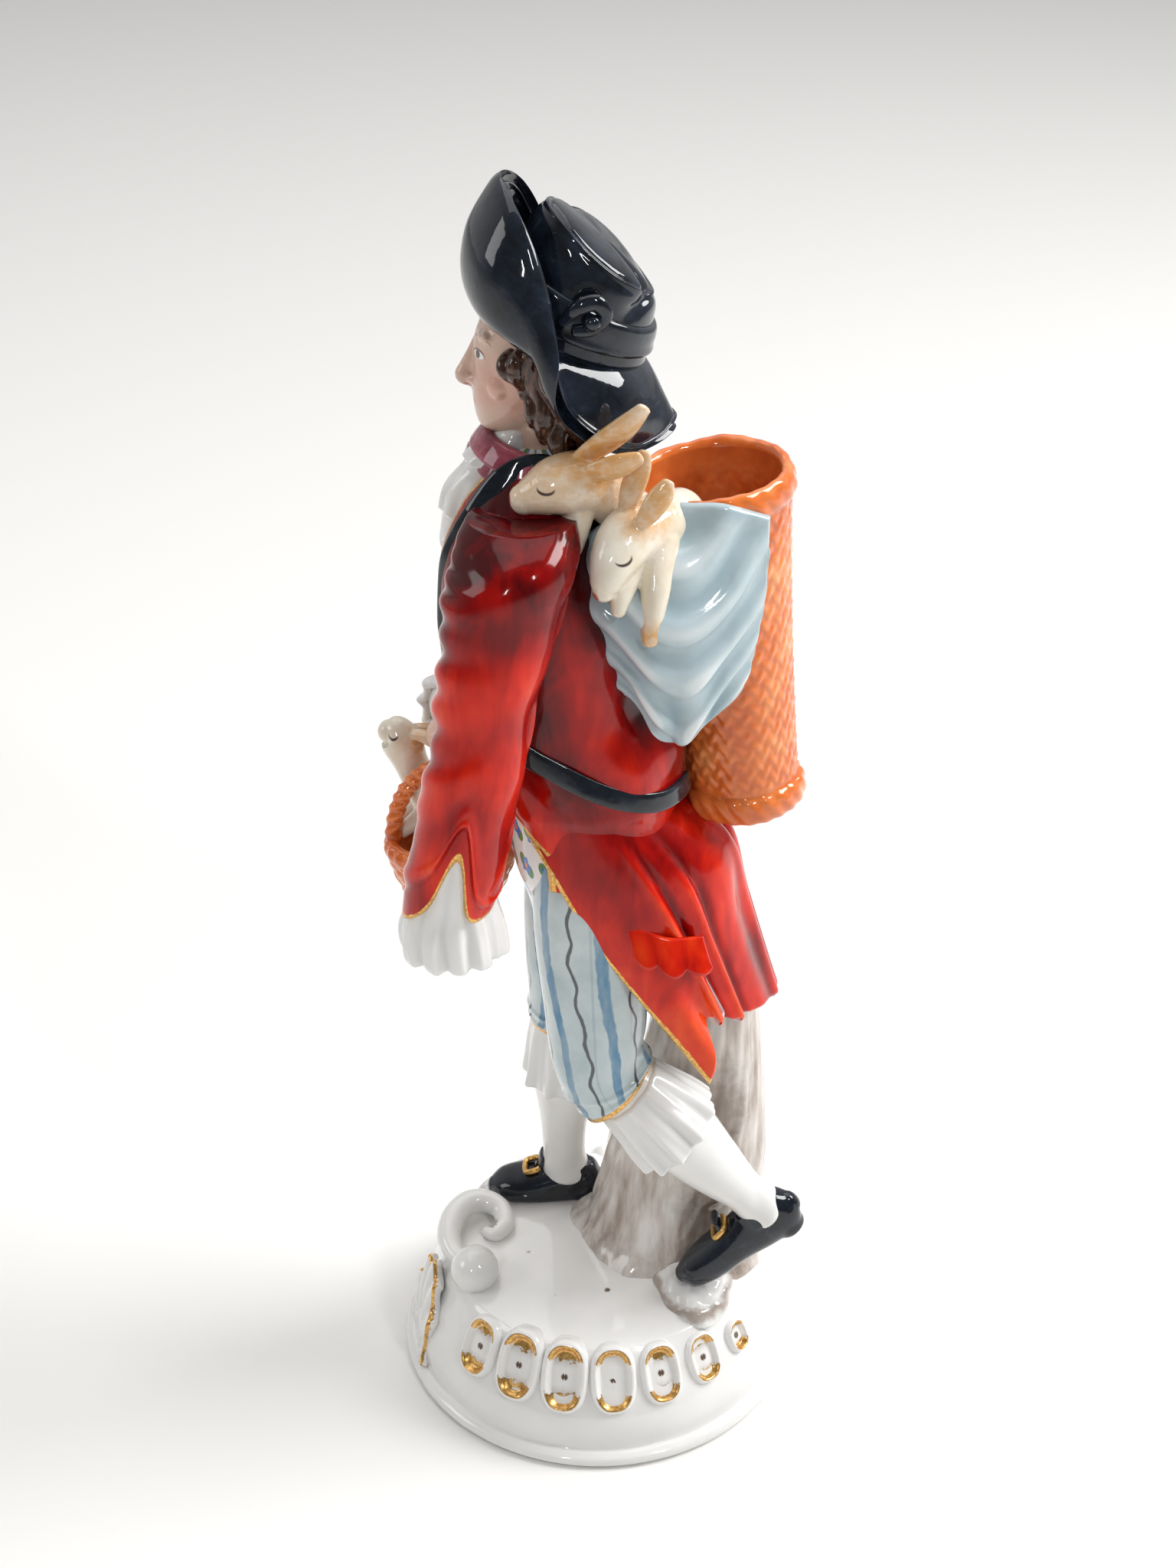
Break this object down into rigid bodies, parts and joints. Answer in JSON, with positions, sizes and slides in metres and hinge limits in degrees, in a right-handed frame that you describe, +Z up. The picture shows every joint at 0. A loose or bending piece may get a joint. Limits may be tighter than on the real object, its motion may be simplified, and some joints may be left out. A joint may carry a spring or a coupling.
{
  "type": "porcelain figurine",
  "caption": "Standing porcelain figurine of a pedlar with a tall basket of rabbits on the back and a small basket on one arm, on a round rococo base.",
  "frame": {"origin": "centre of the foot ring on the surface that the base stands on", "axes": "+Z up; the figure faces -Y and its left side is +X"},
  "size_m": [0.079, 0.079, 0.2412],
  "materials": {
    "white_glaze": "clear-glazed white porcelain with brushed gilt edges",
    "stump_glaze": "glazed porcelain washed with grey-brown in streaks",
    "black_glaze": "high-gloss blue-black enamel over glaze",
    "gilding": "brushed gilding over glaze",
    "striped_glaze": "pale blue-grey glaze with painted blue stripes and fine black wavy lines",
    "flowered_glaze": "white glaze with painted sprigs and a gilt hem",
    "red_glaze": "glossy iron-red enamel with visible brushwork",
    "mauve_glaze": "glossy mauve enamel",
    "flesh_glaze": "satin flesh tint with painted features",
    "hair_glaze": "dark brown enamel over modelled curls",
    "wicker_glaze": "orange-brown glaze over a modelled wicker weave",
    "cloth_glaze": "pale blue-grey glaze pooled in the folds",
    "rabbit_glaze": "white porcelain tinted ochre at the ears, paws and back"
  },
  "bodies": {
    "root": {"base": "white_glaze", "left_cartouches": "white_glaze", "right_cartouches": "white_glaze", "front_shell": "white_glaze", "scroll": "white_glaze", "ball": "white_glaze", "ground_rock": "stump_glaze", "tree_stump": "stump_glaze", "right_stocking": "white_glaze", "left_stocking": "white_glaze", "right_knee_frill": "white_glaze", "left_knee_frill": "white_glaze", "right_shoe": "black_glaze", "left_shoe": "black_glaze", "right_buckle": "gilding", "left_buckle": "gilding", "right_breeches_leg": "striped_glaze", "left_breeches_leg": "striped_glaze", "waistcoat": "flowered_glaze", "coat_body": "red_glaze", "coat_skirt": "red_glaze", "left_pocket_flap": "red_glaze", "right_pocket_flap": "red_glaze", "collar": "mauve_glaze", "neckcloth": "white_glaze", "left_sleeve": "red_glaze", "right_sleeve": "red_glaze", "left_cuff_frill": "white_glaze", "right_cuff_frill": "white_glaze", "left_hand": "flesh_glaze", "right_hand": "flesh_glaze", "left_strap": "black_glaze", "right_strap": "black_glaze", "head": "flesh_glaze", "hair": "hair_glaze", "hair_ribbon": "black_glaze", "hat_crown": "black_glaze", "hat_brim": "black_glaze", "hat_band": "black_glaze", "back_basket": "wicker_glaze", "basket_cloth": "cloth_glaze", "upper_rabbit": "rabbit_glaze", "lower_rabbit": "rabbit_glaze", "hand_basket": "wicker_glaze", "basket_handle": "wicker_glaze", "hand_rabbit": "rabbit_glaze"}
  },
  "joints": []
}
